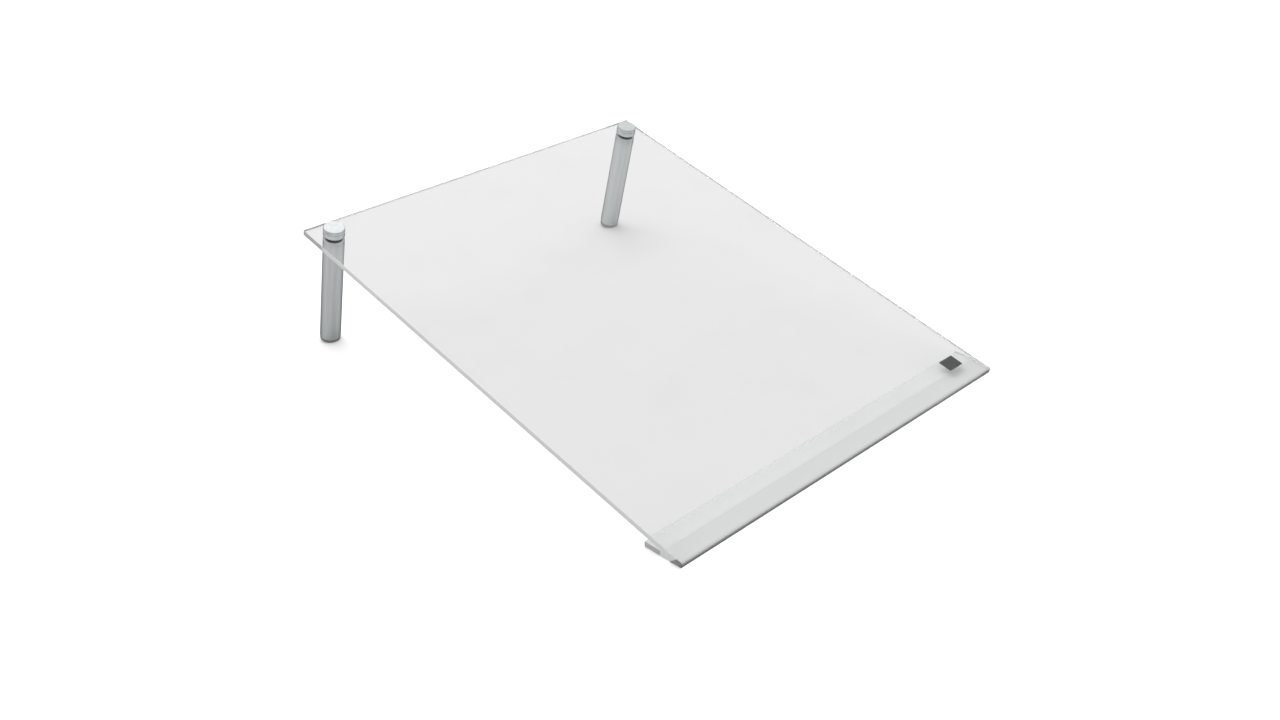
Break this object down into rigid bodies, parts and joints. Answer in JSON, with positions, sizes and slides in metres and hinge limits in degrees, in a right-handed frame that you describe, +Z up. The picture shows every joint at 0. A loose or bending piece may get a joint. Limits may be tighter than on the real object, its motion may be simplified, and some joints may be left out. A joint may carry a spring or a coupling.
{
  "type": "desktop memo board",
  "caption": "Clear acrylic desktop writing board, sloping up from a bonded front foot to round aluminium stand-offs with screw-down caps and black rubber end pads.",
  "frame": {"origin": "middle of the board's footprint, on the desk surface", "axes": "+X to the reader's right along the low front edge, +Y towards the raised rear, +Z up"},
  "size_m": [0.25, 0.3028, 0.0787],
  "materials": {
    "clear_acrylic": "clear cast acrylic, polished faces and edges",
    "satin_aluminium": "turned, fine blasted and silver anodised",
    "zinc_plated_steel": "bright zinc plate",
    "clear_nylon": "natural translucent nylon",
    "black_rubber": "matte black rubber"
  },
  "bodies": {
    "board": {"acrylic_sheet": "clear_acrylic", "front_foot": "clear_acrylic", "left_post": "satin_aluminium", "left_seat_washer": "black_rubber", "left_end_pad": "black_rubber", "right_post": "satin_aluminium", "right_seat_washer": "black_rubber", "right_end_pad": "black_rubber"},
    "left_washer_carrier": {"left_cap_washer": "clear_nylon"},
    "left_screw_cap": {"left_cap": "satin_aluminium", "left_stud": "zinc_plated_steel"},
    "right_washer_carrier": {"right_cap_washer": "clear_nylon"},
    "right_screw_cap": {"right_cap": "satin_aluminium", "right_stud": "zinc_plated_steel"}
  },
  "joints": [
    {"name": "left_cap_rise", "type": "slide", "parent": "board", "child": "left_washer_carrier", "axis": [0, -0.2404, 0.9707], "range_m": [0, 0.008]},
    {"name": "left_cap_turn", "type": "hinge", "parent": "left_washer_carrier", "child": "left_screw_cap", "pos_m": [-0.113, 0.12813, 0.07214], "axis": [0, -0.2404, 0.9707], "range_deg": [0, 3600]},
    {"name": "right_cap_rise", "type": "slide", "parent": "board", "child": "right_washer_carrier", "axis": [0, -0.2404, 0.9707], "range_m": [0, 0.008]},
    {"name": "right_cap_turn", "type": "hinge", "parent": "right_washer_carrier", "child": "right_screw_cap", "pos_m": [0.113, 0.12813, 0.07214], "axis": [0, -0.2404, 0.9707], "range_deg": [0, 3600]}
  ],
  "couplings": [
    {"joint": "left_cap_turn", "follows": "left_cap_rise", "rad_per_m": 7854},
    {"joint": "right_cap_turn", "follows": "right_cap_rise", "rad_per_m": 7854}
  ]
}
